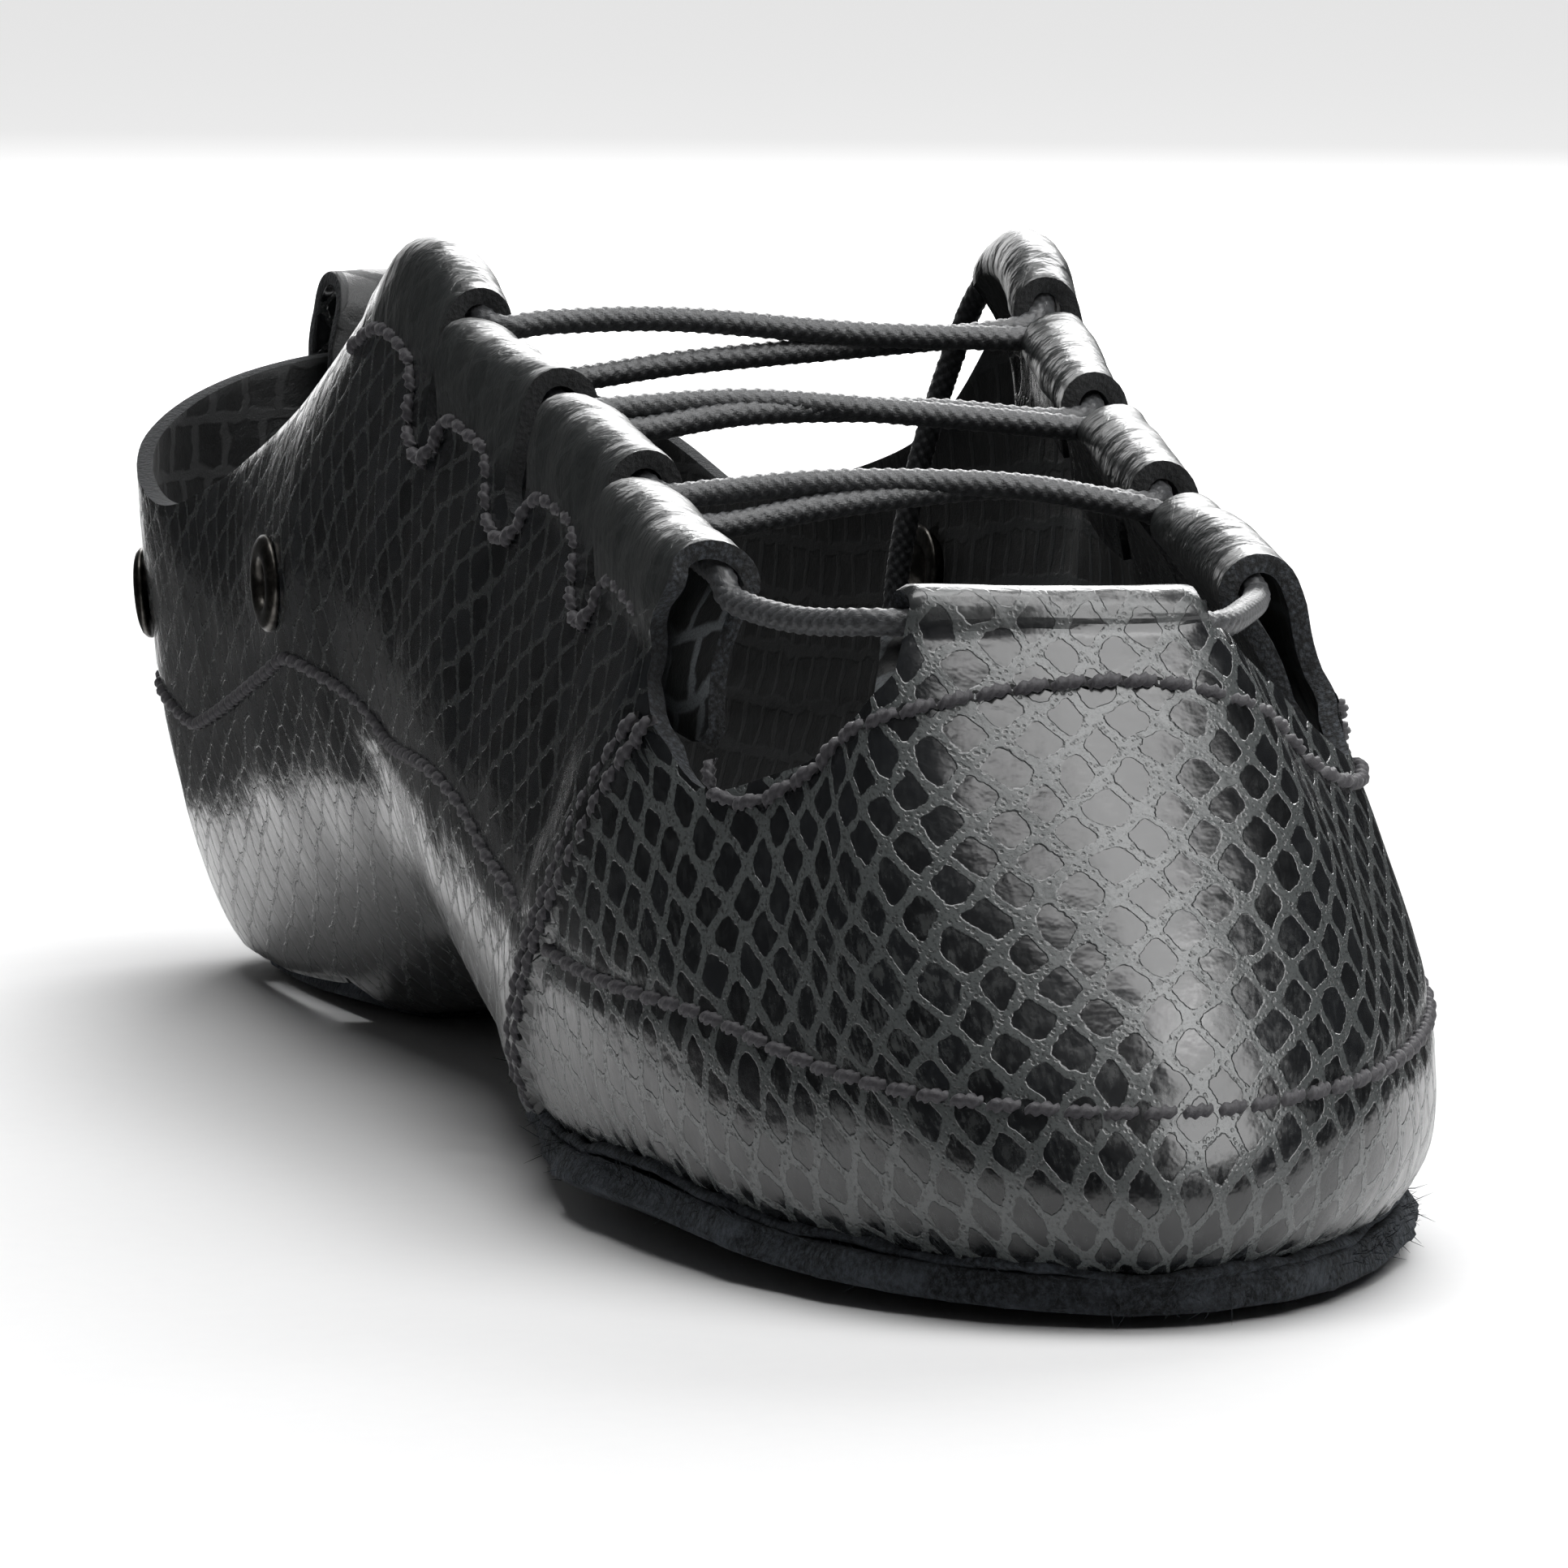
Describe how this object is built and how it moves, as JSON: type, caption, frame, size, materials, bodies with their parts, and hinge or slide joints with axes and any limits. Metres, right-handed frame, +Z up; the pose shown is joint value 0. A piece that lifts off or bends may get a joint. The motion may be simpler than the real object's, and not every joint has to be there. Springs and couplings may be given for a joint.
{
  "type": "ghillie dance shoe",
  "caption": "Soft black leather ghillie dance shoe for the left foot, with folded lace loops along the open throat, a criss-cross lace, a heel pull loop and a split suede sole.",
  "frame": {"origin": "middle of the heel's flat spot, on the floor", "axes": "+X to the wearer's left (outer side), -Y towards the toe, +Z up"},
  "size_m": [0.0656, 0.2434, 0.073],
  "materials": {
    "print_leather": "embossed scale print, glossy cells and dull net",
    "insole_leather": "matt",
    "suede": "suede, fuzzy cut edge",
    "lace": "waxed round braid",
    "eyelet_metal": "dark lacquer"
  },
  "bodies": {
    "root": {"upper": "print_leather", "insole": "insole_leather", "forefoot_sole": "suede", "heel_sole": "suede", "heel_tab": "print_leather", "eyelet_inner_quarter": "eyelet_metal", "eyelet_inner_heel": "eyelet_metal", "eyelet_outer_quarter": "eyelet_metal", "eyelet_outer_heel": "eyelet_metal", "lace_crossing_1": "lace", "lace_crossing_2": "lace", "lace_crossing_3": "lace", "lace_bar_inner": "lace", "lace_bar_outer": "lace", "lace_end_outer": "lace"}
  },
  "joints": []
}
